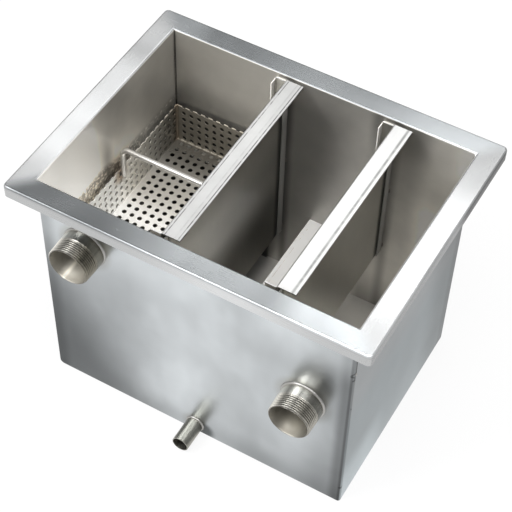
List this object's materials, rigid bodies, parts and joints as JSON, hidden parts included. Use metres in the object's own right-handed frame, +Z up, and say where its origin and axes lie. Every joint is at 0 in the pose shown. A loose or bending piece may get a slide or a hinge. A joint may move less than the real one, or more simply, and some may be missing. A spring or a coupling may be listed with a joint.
{
  "type": "grease trap",
  "caption": "Open-topped sheet-steel grease trap with a turned-down rim, lift-out baffles in guide channels, a low weir, a perforated catch basket, threaded nipples and a drain tube.",
  "frame": {"origin": "centre of the tank's underside, on the plane it stands on", "axes": "+X along the tank from the inlet end to the outlet end, -Y out of the front wall that carries the pipes, +Z up"},
  "size_m": [0.3968, 0.3044, 0.3],
  "materials": {
    "tank_sheet": "satin stainless sheet with faint upright grain and ground welds",
    "inner_sheet": "mill-finish stainless sheet, slightly warm and dull",
    "baffle_sheet": "bright satin stainless sheet",
    "perforated_sheet": "bright perforated stainless sheet, heat-tinted at the corners",
    "rod_steel": "drawn stainless rod",
    "turned_steel": "turned and threaded stainless, dull by the weld",
    "tube_steel": "drawn stainless tube"
  },
  "bodies": {
    "tank": {"front_panel": "tank_sheet", "back_panel": "tank_sheet", "right_panel": "tank_sheet", "left_and_floor_sheet": "tank_sheet", "inlet_nipple": "turned_steel", "outlet_nipple": "turned_steel", "drain_tube": "tube_steel", "guide_1_front": "inner_sheet", "guide_1_back": "inner_sheet", "guide_2_front": "inner_sheet", "guide_2_back": "inner_sheet", "weir_plate": "inner_sheet", "basket_support_front": "inner_sheet", "basket_support_back": "inner_sheet"},
    "first_baffle": {"baffle_1": "baffle_sheet"},
    "second_baffle": {"baffle_2": "baffle_sheet"},
    "catch_basket": {"basket": "perforated_sheet", "basket_handle": "rod_steel"}
  },
  "joints": [
    {"name": "first_baffle_lift", "type": "slide", "parent": "tank", "child": "first_baffle", "axis": [0, 0, 1], "range_m": [0, 0.23]},
    {"name": "second_baffle_lift", "type": "slide", "parent": "tank", "child": "second_baffle", "axis": [0, 0, 1], "range_m": [0, 0.19]},
    {"name": "basket_lift", "type": "slide", "parent": "tank", "child": "catch_basket", "axis": [0, 0, 1], "range_m": [0, 0.162]}
  ]
}
